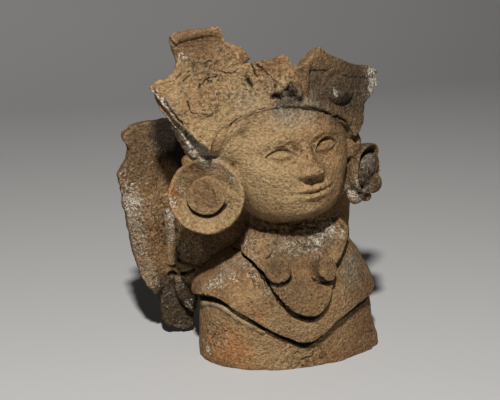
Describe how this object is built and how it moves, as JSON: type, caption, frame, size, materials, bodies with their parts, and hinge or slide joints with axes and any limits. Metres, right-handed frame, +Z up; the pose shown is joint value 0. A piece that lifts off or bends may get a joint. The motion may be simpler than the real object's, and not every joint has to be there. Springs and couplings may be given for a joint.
{
  "type": "effigy urn",
  "caption": "Hand-modelled clay bust with a cape, winged headdress and ear discs, on the front of an oval jar whose hollow opens upwards behind the head.",
  "frame": {"origin": "on the ground, in the flat underside, below the axis of the figure's body", "axes": "+Z up, the figure's body faces -Y and its own right hand is at -X"},
  "size_m": [0.2032, 0.1758, 0.2689],
  "materials": {
    "fired_clay": "unglazed, worn and dusty"
  },
  "bodies": {
    "root": {"effigy_urn": "fired_clay"}
  },
  "joints": []
}
